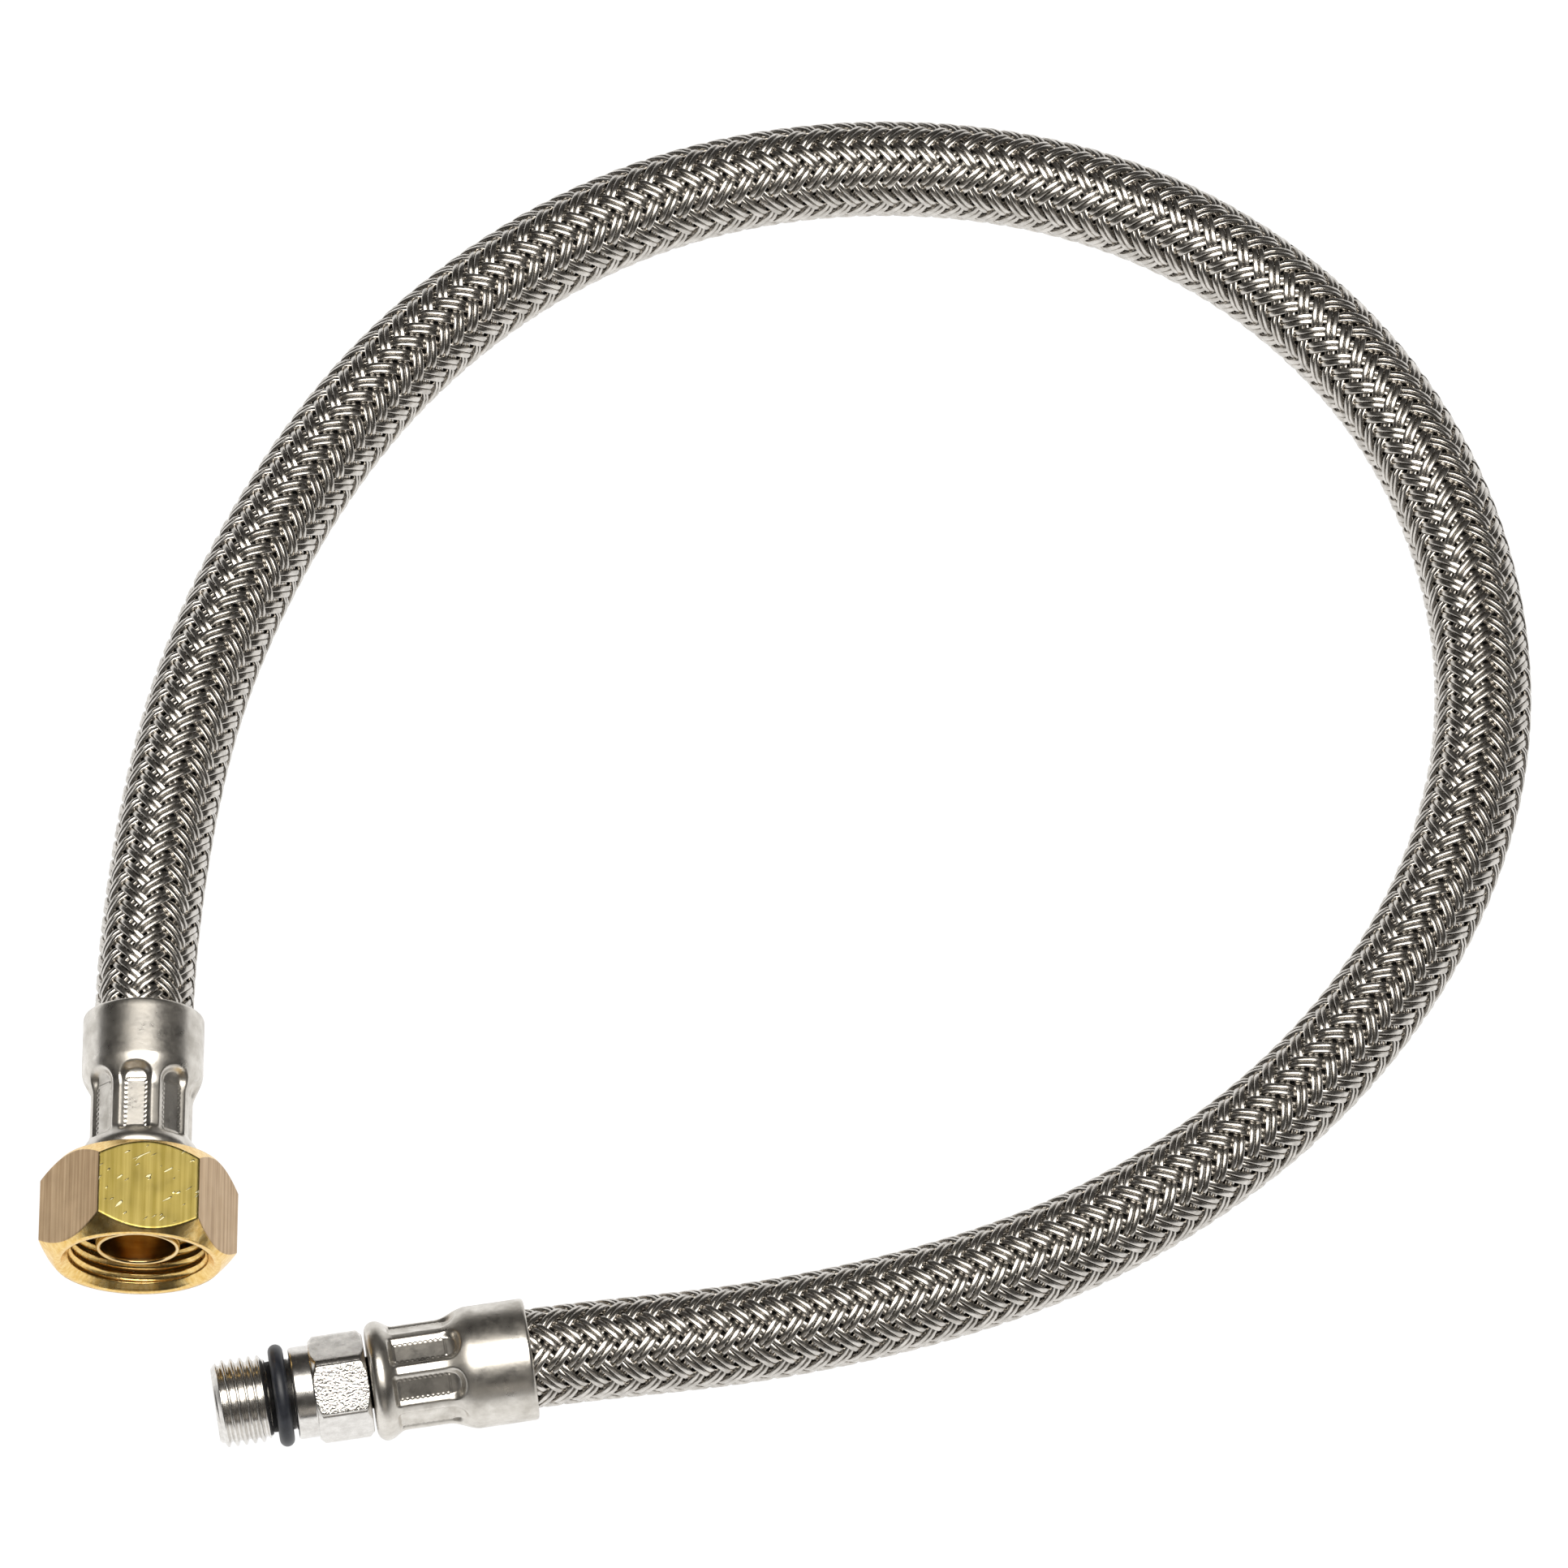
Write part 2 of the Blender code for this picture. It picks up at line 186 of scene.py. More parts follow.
def make_camera():
    """Looks down on the loop with a long lens."""
    target = np.array(CAMERA_TARGET) * MM
    elevation = math.radians(CAMERA_ELEVATION)
    camera = bpy.data.objects.new("camera", bpy.data.cameras.new("camera"))
    bpy.context.scene.collection.objects.link(camera)
    direction = np.array((0.0, -math.cos(elevation), math.sin(elevation)))
    camera.location = target + CAMERA_DISTANCE * direction
    camera.rotation_euler = (math.pi / 2 - elevation, 0.0, 0.0)
    camera.data.lens = CAMERA_LENS
    camera.data.clip_end = 100.0
    bpy.context.scene.camera = camera


def make_softbox(name, place, size, power, color):
    light = bpy.data.lights.new(name, "AREA")
    light.shape = "RECTANGLE"
    light.size, light.size_y = size
    light.energy = power
    light.color = color
    obj = bpy.data.objects.new(name, light)
    bpy.context.scene.collection.objects.link(obj)
    obj.location = place
    direction = Vector(LIGHTS_AIM) - Vector(place)
    obj.rotation_euler = direction.to_track_quat("-Z", "Y").to_euler()


def make_stage():
    """A white floor, a dim warm room and two softboxes."""
    corners = [(-STAGE_HALF, -STAGE_HALF, 0), (STAGE_HALF, -STAGE_HALF, 0),
               (STAGE_HALF, STAGE_HALF, 0), (-STAGE_HALF, STAGE_HALF, 0)]
    mesh = bpy.data.meshes.new("floor")
    mesh.from_pydata(corners, [], [(0, 1, 2, 3)])
    floor = bpy.data.objects.new("floor", mesh)
    bpy.context.scene.collection.objects.link(floor)
    floor.location.z = -STAGE_DROP
    material, shader = new_material("floor_white")
    shader.inputs["Base Color"].default_value = (0.08, 0.08, 0.08, 1)
    shader.inputs["Roughness"].default_value = 0.9
    shader.inputs["Emission Color"].default_value = (1.0, 1.0, 1.0, 1)
    shader.inputs["Emission Strength"].default_value = 1.0
    mesh.materials.append(material)

    world = bpy.data.worlds.new("studio")
    bpy.context.scene.world = world
    world.use_nodes = True
    background = world.node_tree.nodes["Background"]
    background.inputs["Color"].default_value = (1.0, 0.93, 0.85, 1)
    background.inputs["Strength"].default_value = 0.035
    bpy.context.scene.view_settings.view_transform = "Standard"

    make_softbox("overhead", (0.056, -0.02, 1.3), (1.2, 0.75), 20.0, (1.0, 0.97, 0.92))
    make_softbox("front card", (0.0, -1.2, 0.42), (0.9, 0.4), 0.45, (1.0, 0.93, 0.84))


# Materials


def new_material(name):
    material = bpy.data.materials.new(name)
    material.use_nodes = True
    return material, material.node_tree.nodes["Principled BSDF"]


def node(material, kind, **values):
    made = material.node_tree.nodes.new(kind)
    for key, value in values.items():
        setattr(made, key, value)
    return made


def link(material, out, into):
    material.node_tree.links.new(out, into)


def noise(material, scale, detail=3.0, stretch=(1.0, 1.0, 1.0), turn=0.0, roughness=0.5):
    """A noise in metres, drawn out by stretch along each axis of a frame turned about Z."""
    place = node(material, "ShaderNodeTexCoord")
    mapping = node(material, "ShaderNodeMapping", vector_type="TEXTURE")
    mapping.inputs["Rotation"].default_value = (0.0, 0.0, turn)
    mapping.inputs["Scale"].default_value = stretch
    texture = node(material, "ShaderNodeTexNoise")
    texture.inputs["Scale"].default_value = scale
    texture.inputs["Detail"].default_value = detail
    texture.inputs["Roughness"].default_value = roughness
    link(material, place.outputs["Object"], mapping.inputs["Vector"])
    link(material, mapping.outputs["Vector"], texture.inputs["Vector"])
    return texture.outputs["Fac"]


def spread(material, value, low, high, to_low, to_high):
    """value from low..high mapped to to_low..to_high, and held there."""
    ranged = node(material, "ShaderNodeMapRange")
    for key, number in (("From Min", low), ("From Max", high), ("To Min", to_low), ("To Max", to_high)):
        ranged.inputs[key].default_value = number
    link(material, value, ranged.inputs["Value"])
    return ranged.outputs["Result"]


def mix_colors(material, factor, first, second):
    """first to second as factor goes 0 to 1; each is a colour or a node's output."""
    mix = node(material, "ShaderNodeMix", data_type="RGBA")
    for name, value in (("Factor", factor), ("A", first), ("B", second)):
        if isinstance(value, tuple):
            mix.inputs[name].default_value = (*value, 1.0)
        else:
            link(material, value, mix.inputs[name])
    return mix.outputs["Result"]


def combined(material, operation, first, second):
    """Two outputs joined by a Math node's operation."""
    made = node(material, "ShaderNodeMath", operation=operation)
    link(material, first, made.inputs[0])
    link(material, second, made.inputs[1])
    return made.outputs["Value"]


def bump(material, shader, height, distance, strength, after=None):
    """A bump on the shader, on top of an earlier one if after is given."""
    made = node(material, "ShaderNodeBump")
    made.inputs["Distance"].default_value = distance
    made.inputs["Strength"].default_value = strength
    link(material, height, made.inputs["Height"])
    if after is not None:
        link(material, after, made.inputs["Normal"])
    link(material, made.outputs["Normal"], shader.inputs["Normal"])
    return made.outputs["Normal"]


def facet_mask(material, middle, normal, distance):
    """1 on the flat that stands the distance (mm) from an axis through middle, and 0 elsewhere."""
    place = node(material, "ShaderNodeTexCoord")
    across = node(material, "ShaderNodeVectorMath", operation="DOT_PRODUCT")
    across.inputs[1].default_value = normal
    link(material, place.outputs["Object"], across.inputs[0])
    flat = float(np.dot(middle, normal) + distance) * MM
    return spread(material, across.outputs["Value"], flat - 0.00008, flat - 0.00003, 0.0, 1.0)


def braid_steel():
    material, shader = new_material("braid_steel")
    shader.inputs["Metallic"].default_value = 1.0
    tone = noise(material, 900.0, 2.0)
    color = mix_colors(
        material, spread(material, tone, 0.35, 0.65, 0.0, 1.0), (0.48, 0.455, 0.42), (0.68, 0.65, 0.61))
    link(material, color, shader.inputs["Base Color"])
    rough = spread(material, noise(material, 2500.0), 0.3, 0.7, 0.23, 0.30)
    link(material, rough, shader.inputs["Roughness"])
    bump(material, shader, noise(material, 6000.0, 2.0), 0.00001, 0.4)
    return material


def nickel(name, light_tone, dark_tone, blotch, smooth, rough, grain):
    """Plated metal with satin blotches and a fine grain."""
    material, shader = new_material(name)
    shader.inputs["Metallic"].default_value = 1.0
    blotches = noise(material, blotch, 6.0, roughness=0.65)
    color = mix_colors(material, spread(material, blotches, 0.35, 0.65, 0.0, 1.0), dark_tone, light_tone)
    link(material, color, shader.inputs["Base Color"])
    link(material, spread(material, blotches, 0.3, 0.7, rough, smooth), shader.inputs["Roughness"])
    bump(material, shader, noise(material, grain, 3.0), 0.00002, 0.4)
    return material


def connector_nickel():
    """Bright nickel, with the hexagon's upper flat finely pitted."""
    material = nickel("bright_nickel", (0.80, 0.78, 0.75), (0.64, 0.62, 0.59), 800.0, 0.17, 0.3, 4000.0)
    shader = material.node_tree.nodes["Principled BSDF"]
    turn = math.radians(HEX_TURN)
    across = np.cross(CONNECTOR_DIR, (0.0, 0.0, 1.0))
    normal = math.cos(turn) * np.array((0.0, 0.0, 1.0)) + math.sin(turn) * across
    mask = facet_mask(material, CONNECTOR_LIP, tuple(normal), HEX_AF / 2)
    pits = noise(material, 3800.0, 2.0)
    bump(material, shader, combined(material, "MULTIPLY", pits, mask), 0.0002, 0.7)
    return material


def nut_brass():
    """Golden turned brass, with flats brushed along the nut; the upper flat is nicked, and painted shade
    gives it a darker, greener tone.
    """
    material, shader = new_material("nut_brass")
    shader.inputs["Metallic"].default_value = 1.0
    flats = []
    for k in range(6):
        turn = math.radians(NUT_TURN) + k * TURN / 6
        flats.append(facet_mask(material, UNION_LIP, (-math.sin(turn), 0.0, math.cos(turn)), NUT_AF / 2))
    any_flat = flats[0]
    for flat in flats[1:]:
        any_flat = combined(material, "MAXIMUM", any_flat, flat)
    streaks = noise(material, 2200.0, 4.0, (1.0, 40.0, 1.0))
    tone = spread(material, streaks, 0.35, 0.65, 0.0, 1.0)
    turned_tone = mix_colors(material, tone, (0.78, 0.50, 0.15), (0.90, 0.66, 0.28))
    side_tone = mix_colors(material, tone, (0.36, 0.235, 0.125), (0.54, 0.385, 0.23))
    # Painted shade: the flat that faces up gets its own darker, greener brass tone for how the light falls
    # on it.
    top_flat_painted_shade = mix_colors(material, tone, (0.31, 0.24, 0.058), (0.44, 0.35, 0.11))
    color = mix_colors(material, any_flat, turned_tone, side_tone)
    color = mix_colors(material, flats[0], color, top_flat_painted_shade)
    scratches = noise(material, 3000.0, 0.0, (1.0, 5.0, 1.0), -0.9)
    nicks = combined(material, "MULTIPLY", spread(material, scratches, 0.75, 0.79, 0.0, 0.85), flats[0])
    color = mix_colors(material, nicks, color, (0.95, 0.88, 0.55))
    link(material, color, shader.inputs["Base Color"])
    rough = node(material, "ShaderNodeMapRange")
    rough.inputs["To Min"].default_value = 0.24
    rough.inputs["To Max"].default_value = 0.34
    link(material, any_flat, rough.inputs["Value"])
    patches = spread(material, noise(material, 500.0, 5.0), 0.3, 0.7, -0.04, 0.06)
    link(material, combined(material, "ADD", rough.outputs["Result"], patches), shader.inputs["Roughness"])
    first = bump(material, shader, streaks, 0.00002, 0.5)
    bump(material, shader, nicks, 0.00006, 0.8, first)
    return material


def tail_brass():
    material, shader = new_material("tail_brass")
    shader.inputs["Metallic"].default_value = 1.0
    rings = noise(material, 3000.0, 3.0, (20.0, 1.0, 20.0))
    color = mix_colors(
        material, spread(material, rings, 0.35, 0.65, 0.0, 1.0), (0.72, 0.50, 0.22), (0.85, 0.66, 0.36))
    link(material, color, shader.inputs["Base Color"])
    rough = spread(material, noise(material, 600.0, 4.0), 0.3, 0.7, 0.14, 0.26)
    link(material, rough, shader.inputs["Roughness"])
    bump(material, shader, rings, 0.00001, 0.4)
    return material


def rubber(name, color, roughness, grain=5000.0):
    material, shader = new_material(name)
    tone = noise(material, 700.0, 4.0)
    pale = tuple(1.6 * c + 0.01 for c in color)
    link(material, mix_colors(material, spread(material, tone, 0.35, 0.7, 0.0, 1.0), color, pale),
         shader.inputs["Base Color"])
    shader.inputs["Roughness"].default_value = roughness
    bump(material, shader, noise(material, grain, 3.0), 0.00002, 0.35)
    return material


# Geometry


def smooth_curve(points, start_dir, end_dir, step):
    """Points every step or so along the cubic spline through points with the given end directions."""
    pts = np.array(points, float)
    chord = np.linalg.norm(np.diff(pts, axis=0), axis=1)
    count = len(pts)
    system = np.zeros((count, count))
    right = np.zeros((count, 3))
    system[0, 0] = system[-1, -1] = 1
    right[0], right[-1] = start_dir, end_dir
    slope = np.diff(pts, axis=0) / chord[:, None]
    for i in range(1, count - 1):
        before, after = chord[i - 1], chord[i]
        system[i, i - 1:i + 2] = 1 / before, 2 / before + 2 / after, 1 / after
        right[i] = 3 * (slope[i - 1] / before + slope[i] / after)
    tangent = np.linalg.solve(system, right)
    out = [pts[0]]
    for i, length in enumerate(chord):
        parts = max(1, round(length / step))
        for k in range(1, parts + 1):
            t = k / parts
            out.append(
                (2 * t**3 - 3 * t**2 + 1) * pts[i] + (t**3 - 2 * t**2 + t) * length * tangent[i]
                + (3 * t**2 - 2 * t**3) * pts[i + 1] + (t**3 - t**2) * length * tangent[i + 1]
            )
    return np.array(out)


def hose_route(step, inside):
    """Even points along the hose, straight inside each ferrule, and how far past the union lip each is."""
    union_dir, connector_dir = np.array(UNION_DIR), np.array(CONNECTOR_DIR)
    free = smooth_curve(ROUTE, -union_dir, connector_dir, 0.5)
    line = np.vstack([free[0] + union_dir * inside, free, free[-1] + connector_dir * inside])
    along = np.concatenate([[0], np.cumsum(np.linalg.norm(np.diff(line, axis=0), axis=1))])
    even = np.linspace(0, along[-1], round(along[-1] / step) + 1)
    return np.column_stack([np.interp(even, along, line[:, k]) for k in range(3)]), even - inside


def line_frames(line):
    """Two directions across the line at each point, carried along it without twisting."""
    along = np.gradient(line, axis=0)
    along /= np.linalg.norm(along, axis=1)[:, None]
    up = np.array((0.0, 0.0, 1.0))
    normal = np.empty_like(line)
    for i, direction in enumerate(along):
        up = up - direction * np.dot(up, direction)
        up /= np.linalg.norm(up)
        normal[i] = up
    return normal, np.cross(along, normal)


def add_object(name, mesh, material):
    mesh.materials.append(material)
    mesh.shade_smooth()
    obj = bpy.data.objects.new(name, mesh)
    bpy.context.scene.collection.objects.link(obj)
    return obj


def quads_mesh(name, points, quads):
    """A mesh of four-sided faces, from points in millimetres."""
    mesh = bpy.data.meshes.new(name)
    mesh.vertices.add(len(points))
    mesh.vertices.foreach_set("co", (points * MM).ravel())
    mesh.loops.add(quads.size)
    mesh.loops.foreach_set("vertex_index", quads.ravel())
    mesh.polygons.add(len(quads))
    mesh.polygons.foreach_set("loop_start", np.arange(0, quads.size, 4))
    mesh.update(calc_edges=True)
    mesh.validate()
    return mesh


def ring_mesh(name, rings, material):
    """A closed ring-shaped skin from an array of rings: (ring, place round it, xyz), facing out."""
    count, sides = rings.shape[:2]
    index = np.arange(count * sides).reshape(count, sides)
    after = np.roll(index, -1, axis=0)
    faces = np.stack([index, np.roll(index, -1, axis=1), np.roll(after, -1, axis=1), after], axis=-1)
    return add_object(name, quads_mesh(name, rings.reshape(-1, 3), faces.reshape(-1, 4)), material)


def lay(points, lip, direction):
    """Points in a fitting's own axes, put in the frame's."""
    z_axis = np.array(direction) / np.linalg.norm(direction)
    x_axis = np.array((0.0, 0.0, 1.0))
    y_axis = np.cross(z_axis, x_axis)
    return np.array(lip) + points @ np.array((x_axis, y_axis, z_axis))


def turned(name, profile, material, lip, direction, sides=192, radius_at=None):
    """A turned ring from a closed outline of (radius, z); radius_at may change the radius round it."""
    outline = np.array(profile, float)
    theta = np.arange(sides) * TURN / sides
    radius = np.repeat(outline[:, :1], sides, axis=1)
    z = np.repeat(outline[:, 1:2], sides, axis=1)
    if radius_at is not None:
        radius = radius_at(radius, theta[None, :], z)
    rings = np.stack([radius * np.cos(theta), radius * np.sin(theta), z], axis=-1)
    return ring_mesh(name, lay(rings, lip, direction), material)


def between(start, end, step):
    """Outline points from start towards end, without end itself."""
    start, end = np.array(start, float), np.array(end, float)
    parts = max(1, int(math.ceil(np.linalg.norm(end - start) / step)))
    return [tuple(start + (end - start) * k / parts) for k in range(parts)]


def path_of(corners, step):
    """The closed outline through corners, with points no more than step apart."""
    out = []
    for start, end in zip(corners, corners[1:] + corners[:1]):
        out += between(start, end, step)
    return out


def step_up(value):
    """0 to 1 with flat ends as value goes 0 to 1."""
    value = np.clip(value, 0.0, 1.0)
    return value * value * (3 - 2 * value)


def softest(first, second, width):
    """The smaller of two, with a rounded change-over."""
    return -width * np.logaddexp(-first / width, -second / width)


def hexagon_radius(theta, across_flats, turn, width):
    """Radius of a hexagon with a flat facing x, turned by some radians, with eased corners."""
    local = (theta - turn + TURN / 12) % (TURN / 6) - TURN / 12
    flat = across_flats / 2
    here = flat / np.cos(local)
    beside = flat / np.cos(TURN / 6 - np.abs(local))
    return softest(here, beside, width)


def weave_height(phase):
    """-1 to 1 along a wire: flat on top across two crossings, flat below across the next two."""
    wave = np.sin(phase)
    sharp = WEAVE_SHARPNESS**2
    return wave * np.sqrt((1 + sharp) / (1 + sharp * wave**2))


def wire_points(line, along, normal, side, carrier, which, hand):
    """Middle line of one wire of a carrier. hand is 1 or -1 for the two ways round."""
    pitch_angle = math.atan2(TURN * BRAID_MID_R, LEAD)
    offset = (which - 0.5) * WIRE_PAIR / (BRAID_MID_R * math.cos(pitch_angle))
    theta = TURN * carrier / CARRIERS + hand * TURN * along / LEAD + offset
    crossing = (theta + hand * TURN * along / LEAD) * CARRIERS / TURN
    phase = (carrier + crossing + 0.5) * TURN / 4
    radius = BRAID_MID_R + hand * WIRE_THICK * weave_height(phase)
    return line + radius[:, None] * (np.cos(theta)[:, None] * normal + np.sin(theta)[:, None] * side)


def wire_rings(points, outwards):
    """Rings round a wire's middle line."""
    along = np.gradient(points, axis=0)
    along /= np.linalg.norm(along, axis=1)[:, None]
    up = outwards - along * np.sum(outwards * along, axis=1)[:, None]
    up /= np.linalg.norm(up, axis=1)[:, None]
    side = np.cross(along, up)
    corners = np.array(WIRE_OUTLINE)
    thick = WIRE_THICK * corners[:, 0][None, :, None] * up[:, None]
    wide = WIRE_WIDE * corners[:, 1][None, :, None] * side[:, None]
    return points[:, None] + thick + wide


def wires_mesh(name, wires, material):
    """Wires with closed ends in one mesh, from arrays of rings."""
    points, quads, start = [], [], 0
    for rings in wires:
        count, sides = rings.shape[:2]
        index = np.arange(count * sides).reshape(count, sides) + start
        here, after = index[:-1], index[1:]
        skin = np.stack([here, np.roll(here, -1, axis=1), np.roll(after, -1, axis=1), after], axis=-1)
        quads.append(skin.reshape(-1, 4))
        for k in range(1, sides - 2, 2):
            fan = np.array([0, k, k + 1, k + 2])
            quads.append(index[0][fan[::-1]][None])
            quads.append(index[-1][fan][None])
        points.append(rings.reshape(-1, 3))
        start += count * sides
    return add_object(name, quads_mesh(name, np.vstack(points), np.vstack(quads)), material)


# Pieces


def make_braid(material):
    """All the wires, a few carriers to a piece."""
    line, along = hose_route(BRAID_STEP, BRAID_INTO_FERRULE)
    normal, side = line_frames(line)
    pieces = []
    for hand, name in ((1, "right"), (-1, "left")):
        for group in range(CARRIERS // CARRIERS_PER_PIECE):
            wires = []
            first = group * CARRIERS_PER_PIECE
            for carrier in range(first, first + CARRIERS_PER_PIECE):
                for which in (0, 1):
                    points = wire_points(line, along, normal, side, carrier, which, hand)
                    wires.append(wire_rings(points, points - line))
            pieces.append(wires_mesh(f"braid_wires_{name}_{group + 1}", wires, material))
    return pieces


def make_rubber_hose(material):
    """The tube inside the braid, and the points that it follows."""
    line, _ = hose_route(1.0, HOSE_INTO_FERRULE)
    normal, side = line_frames(line)
    angle = (np.arange(RUBBER_SIDES) * TURN / RUBBER_SIDES)[None, :, None]
    around = np.cos(angle) * normal[:, None] + np.sin(angle) * side[:, None]
    outer = line[:, None] + RUBBER_R * around
    inner = line[::-1, None] + RUBBER_BORE * around[::-1]
    hose = ring_mesh("rubber_hose", np.concatenate([outer, inner]), material)
    return hose, line


def ferrule_radius(pocket_angle):
    """A function for the radius of the crimped skin, with a pocket's middle at pocket_angle degrees."""
    pitch = TURN / POCKETS

    def radius_at(radius, theta, z):
        waist = (FERRULE_R - WAIST_R) * step_up((z - WAIST_FROM) / WAIST_RAMP)
        body = FERRULE_R - waist + (SHOULDER_R - WAIST_R) * step_up((z - FLARE_FROM) / FLARE_RAMP)
        local = (theta - math.radians(pocket_angle) + pitch / 2) % pitch - pitch / 2
        across = np.abs(local) * WAIST_R

        # How far inside the pocket's outline: round at its start, with rounded corners at its end.
        arch = POCKET_HALF - np.hypot(across, np.minimum(z - POCKET_FROM - POCKET_HALF, 0.0))
        past_side = across - (POCKET_HALF - POCKET_CORNER)
        past_end = z - (POCKET_TO - POCKET_CORNER)
        outside = np.hypot(np.maximum(past_side, 0.0), np.maximum(past_end, 0.0))
        box = POCKET_CORNER - outside - np.minimum(np.maximum(past_side, past_end), 0.0)
        inside = np.minimum(arch, box)
        ramp = 1 - (1 - np.clip((z - POCKET_FROM) / (FLOOR_FROM - POCKET_FROM), 0.0, 1.0))**2
        depth = (body - POCKET_FLOOR / np.cos(local)) * step_up(inside / POCKET_WALL) * ramp

        # The toothed ridge round the floor.
        teeth = 0.5 + 0.5 * np.cos(TURN * z / TOOTH_PITCH)
        along = step_up((z - FLOOR_FROM + 0.1) / 0.15) * step_up((FLOOR_TO + 0.1 - z) / 0.15)
        ridge = np.exp(-((across - FLOOR_HALF) / 0.11)**2) * along * teeth
        ends = np.exp(-((z - FLOOR_FROM) / 0.1)**2) + np.exp(-((z - FLOOR_TO) / 0.1)**2)
        ridge = ridge + ends * step_up((FLOOR_HALF - across) / 0.2)
        return np.where(radius == SHAPED, body - depth + TOOTH_HEIGHT * ridge, radius)

    return radius_at


def make_ferrule(name, pocket_angle, lip, direction, material):
    """The crimped sleeve, with a rolled shoulder at the fitting end."""
    end = FERRULE_LEN
    outline = [(FERRULE_R - 0.45, 0.0), (FERRULE_R - 0.2, 0.05), (FERRULE_R - 0.06, 0.18)]
    outline += [(SHAPED, z) for z in np.arange(0.4, WAIST_FROM, 0.5)]
    outline += [(SHAPED, z) for z in np.arange(WAIST_FROM, end - 1.2, CRIMP_STEP)]
    for k in range(12):
        angle = k / 11 * math.pi / 2
        outline.append((SHOULDER_R - 1.2 + 1.2 * math.cos(angle), end - 1.15 + 1.15 * math.sin(angle)))
    outline += [
        (4.2, end),
        (SHOULDER_BORE_R, end),
        (SHOULDER_BORE_R, end - 1.2),
        (CRIMP_BORE_R, end - 1.3),
        (CRIMP_BORE_R, POCKET_FROM + 0.4),
        (FERRULE_BORE_R, POCKET_FROM - 1.2),
        (FERRULE_BORE_R, 2.0),
        (FERRULE_BORE_R, 0.25),
        (FERRULE_BORE_R + 0.08, 0.06),
        (FERRULE_BORE_R + 0.25, 0.0),
    ]
    return turned(name, outline, material, lip, direction, 480, ferrule_radius(pocket_angle))


def make_nut(material):
    """The hexagon nut with turned corners and a cut thread."""
    back = FERRULE_LEN + GAP
    mouth = back + NUT_LEN
    thread_from = back + NUT_WALL

    def radius_at(radius, theta, z):
        cone = NUT_FACE_R + NUT_CHAMFER_SLOPE * np.minimum(z - back, mouth - z)
        outside = softest(hexagon_radius(theta, NUT_AF, math.radians(NUT_TURN), 0.05), cone, 0.03)
        turns = (z - thread_from) / NUT_PITCH - theta / TURN
        ridge = np.abs(2 * (turns % 1.0) - 1)
        cut = NUT_THREAD_DEPTH * (1 - ridge**2.5) * step_up((z - thread_from - 0.2) / 0.8)
        sink = NUT_MOUTH_R - 0.15 - 0.95 * (mouth - 0.2 - z)
        radius = np.where(radius == SCREW, np.maximum(NUT_MINOR_R + cut, sink), radius)
        return np.where(radius == SHAPED, outside, radius)

    outline = [(SHAPED, z) for z in np.linspace(back, mouth, 116)]
    outline += [(9.1, mouth), (NUT_MOUTH_R + 0.05, mouth), (NUT_MOUTH_R - 0.05, mouth - 0.06)]
    outline += [(SCREW, z) for z in np.arange(mouth - 0.2, thread_from + 0.1, -0.085)]
    outline += [(NUT_MINOR_R, thread_from), (6.6, thread_from), (NUT_HOLE_R, thread_from)]
    outline += [(NUT_HOLE_R, back + 0.1), (NUT_HOLE_R + 0.1, back), (7.5, back), (9.0, back)]
    return turned("swivel_nut", outline, material, UNION_LIP, UNION_DIR, 420, radius_at)


def barb_corners(count):
    """Outer corners of a barbed insert, from its free end inside the hose."""
    free = FERRULE_LEN - INSERT_LEN
    corners = [(INSERT_R - 0.25, free)]
    for k in range(count):
        z = free + 0.4 + k * BARB_PITCH
        corners += [(INSERT_R, z), (BARB_R, z + 0.8 * BARB_PITCH), (INSERT_R, z + 0.82 * BARB_PITCH)]
    return corners


def make_tail(material):
    """The brass tail: barbed insert, neck, flange and the spigot that shows in the nut's mouth."""
    back = FERRULE_LEN + GAP
    flange = back + NUT_WALL + GAP
    flange_end = flange + TAIL_FLANGE_LEN
    tip = back + NUT_LEN - SPIGOT_RECESS
    free = FERRULE_LEN - INSERT_LEN
    corners = barb_corners(BARBS)
    corners += [
        (INSERT_R, FERRULE_LEN - 2.6),
        (STEM_R, FERRULE_LEN - 2.4),
        (STEM_R, back),
        (TAIL_NECK_R, back),
        (TAIL_NECK_R, flange),
        (TAIL_FLANGE_R - 0.05, flange),
        (TAIL_FLANGE_R, flange + 0.08),
        (TAIL_FLANGE_R, flange_end - 0.08),
        (TAIL_FLANGE_R - 0.05, flange_end),
        (SPIGOT_R, flange_end),
        (SPIGOT_R, tip - 0.3),
        (SPIGOT_R - 0.05, tip - 0.1),
        (SPIGOT_R - 0.15, tip),
        (SPIGOT_BORE_R + 0.2, tip),
        (SPIGOT_BORE_R + 0.08, tip - 0.06),
        (SPIGOT_BORE_R, tip - 0.25),
        (SPIGOT_BORE_R, back + 0.8),
        (INSERT_BORE_R, back - 1.8),
        (INSERT_BORE_R, free),
    ]
    return turned("tail_spigot", path_of(corners, 0.5), material, UNION_LIP, UNION_DIR, 192)


def make_gasket(material):
    start = FERRULE_LEN + GAP + NUT_WALL + GAP + TAIL_FLANGE_LEN + GAP
    end = start + GASKET_LEN
    bore, rim = SPIGOT_R + GAP, TAIL_FLANGE_R
    corners = [(bore + 0.1, start), (rim - 0.1, start), (rim, start + 0.1), (rim, end - 0.1)]
    corners += [(rim - 0.1, end), (bore + 0.1, end), (bore, end - 0.1), (bore, start + 0.1)]
    return turned("seat_gasket", path_of(corners, 0.3), material, UNION_LIP, UNION_DIR, 128)


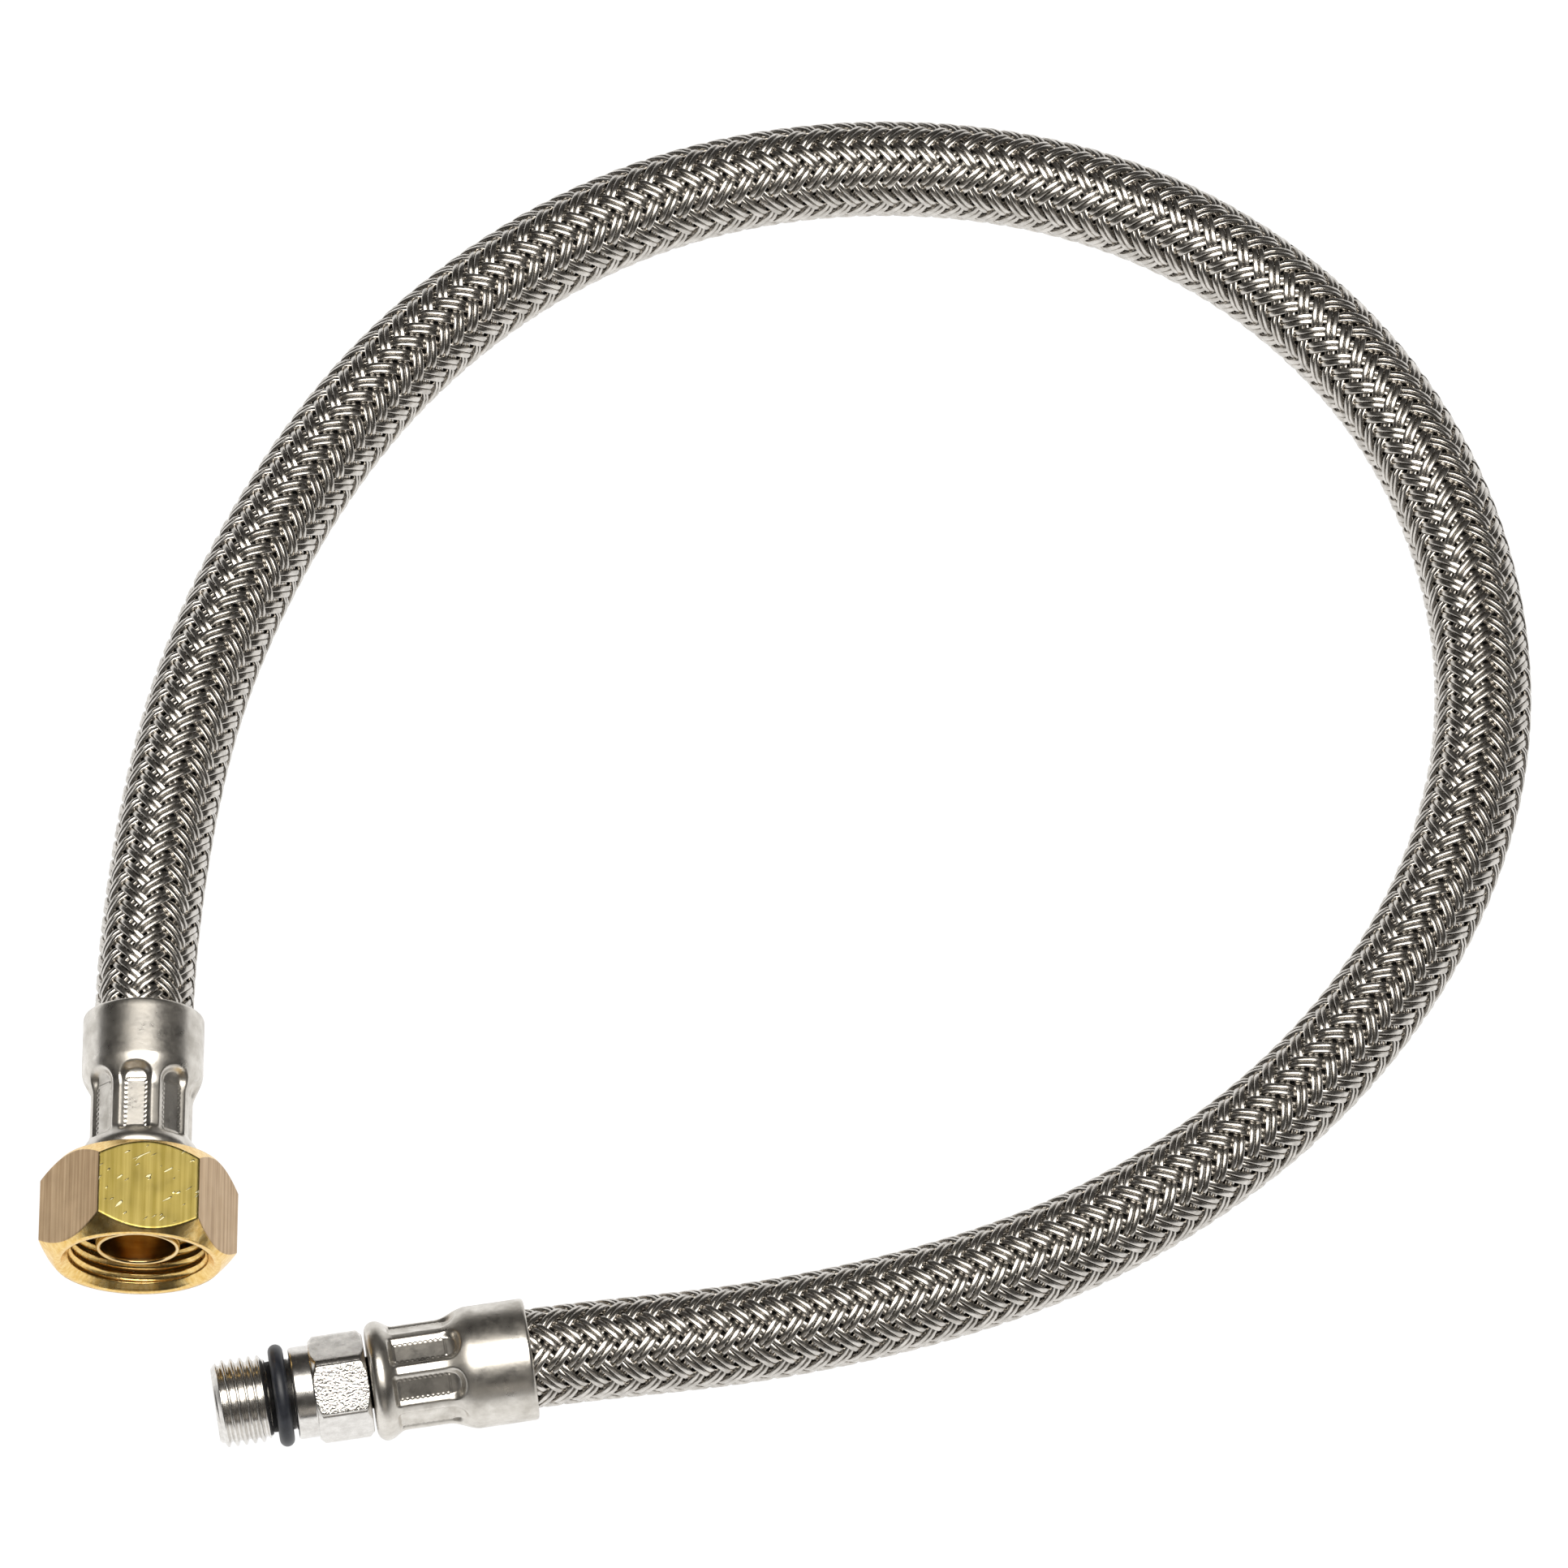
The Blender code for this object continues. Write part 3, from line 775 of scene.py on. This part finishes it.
def make_connector(material):
    """Nickel-plated connector: hexagon, collar, groove and M10x1 thread."""
    hex_from = FERRULE_LEN + GAP
    hex_to = hex_from + HEX_LEN
    collar_to = hex_to + COLLAR_LEN
    groove_to = collar_to + GROOVE_LEN
    end = groove_to + THREAD_LEN
    free = FERRULE_LEN - INSERT_LEN

    def radius_at(radius, theta, z):
        cone = HEX_CORNER_R - 0.55 + np.minimum(z - hex_from, hex_to - z)
        hexagon = hexagon_radius(theta, HEX_AF, math.radians(HEX_TURN), 0.06)
        hexagon = softest(hexagon, np.minimum(cone, HEX_CORNER_R), 0.05)
        turns = (z - groove_to) / THREAD_PITCH - theta / TURN
        ridge = np.abs(2 * (turns % 1.0) - 1)
        cut = THREAD_DEPTH * step_up((ridge - 0.1) / 0.75)
        screw = softest(THREAD_R - cut, THREAD_R - 0.85 + (end - z), 0.04)
        screw = softest(screw, THREAD_R - 0.7 + (z - groove_to), 0.05)
        radius = np.where(radius == SHAPED, hexagon, radius)
        return np.where(radius == SCREW, screw, radius)

    # Known fault: the kept part of path_of's way back is a flat fold, hidden inside the hose.
    stem = barb_corners(1) + [(INSERT_R, hex_from - 2.9), (STEM_R, hex_from - 2.7)]
    outline = path_of(stem, 0.6)[:-3]
    outline += [(STEM_R, hex_from - 2.7), (STEM_R, hex_from), (4.4, hex_from)]
    outline += [(SHAPED, z) for z in np.linspace(hex_from, hex_to, 62)]
    outline += [(COLLAR_R, hex_to), (COLLAR_R, hex_to + 0.15), (COLLAR_R, hex_to + 1.0)]
    outline += [(COLLAR_R, collar_to - 0.3), (COLLAR_R - 0.06, collar_to - 0.1), (COLLAR_R - 0.2, collar_to)]
    outline += [(GROOVE_R + 0.1, collar_to), (GROOVE_R, collar_to + 0.1), (GROOVE_R, groove_to - 0.05)]
    outline += [(SCREW, z) for z in np.linspace(groove_to, end, 80)]
    outline += [(BORE_R + 0.25, end), (BORE_R, end - 0.25), (BORE_R, end - 3.0), (BORE_R, end - 9.0)]
    outline += [(INSERT_BORE_R, end - 10.8), (INSERT_BORE_R, free)]
    return turned("threaded_connector", outline, material, CONNECTOR_LIP, CONNECTOR_DIR, 288, radius_at)


def make_o_ring(material):
    middle = FERRULE_LEN + GAP + HEX_LEN + COLLAR_LEN + GROOVE_LEN / 2
    section = O_RING_SECTION
    ring_r = GROOVE_R + 0.1 + section
    outline = []
    for k in range(28):
        angle = k / 28 * TURN
        outline.append((ring_r + section * math.cos(angle), middle + section * math.sin(angle)))
    return turned("seal_ring", outline, material, CONNECTOR_LIP, CONNECTOR_DIR, 160)


def main():
    make_camera()
    make_stage()
    steel = braid_steel()
    shell = nickel("ferrule_nickel", (0.74, 0.71, 0.66), (0.56, 0.53, 0.48), 420.0, 0.24, 0.44, 2600.0)
    bright = connector_nickel()
    nut_metal = nut_brass()
    tail_metal = tail_brass()
    dark_rubber = rubber("hose_rubber", (0.02, 0.018, 0.016), 0.7)
    seal_rubber = rubber("seal_rubber", (0.012, 0.014, 0.02), 0.42)
    gasket_rubber = rubber("gasket_rubber", (0.03, 0.028, 0.025), 0.7)

    wires = make_braid(steel)
    hose, route = make_rubber_hose(dark_rubber)
    union_shell = make_ferrule("crimp_sleeve_union", UNION_POCKET_ANGLE, UNION_LIP, UNION_DIR, shell)
    connector_shell = make_ferrule(
        "crimp_sleeve_connector", CONNECTOR_POCKET_ANGLE, CONNECTOR_LIP, CONNECTOR_DIR, shell)
    tail = make_tail(tail_metal)
    gasket = make_gasket(gasket_rubber)
    nut = make_nut(nut_metal)
    connector = make_connector(bright)
    seal = make_o_ring(seal_rubber)

    for piece, node_name, slot in (
        (hose, "inner_hose", "hose_rubber"),
        (union_shell, "union_ferrule", "nickel"),
        (connector_shell, "connector_ferrule", "nickel"),
        (tail, "union_tail", "tail_brass"),
        (gasket, "union_gasket", "gasket"),
        (nut, "union_nut", "brass"),
        (connector, "male_connector", "bright_nickel"),
        (seal, "male_o_ring", "o_ring_rubber"),
    ):
        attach(piece, NUT if piece is nut else ROOT)
        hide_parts(node_name)
    for wire_piece in wires:
        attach(wire_piece, ROOT)
    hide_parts("braid_sleeve")


main()
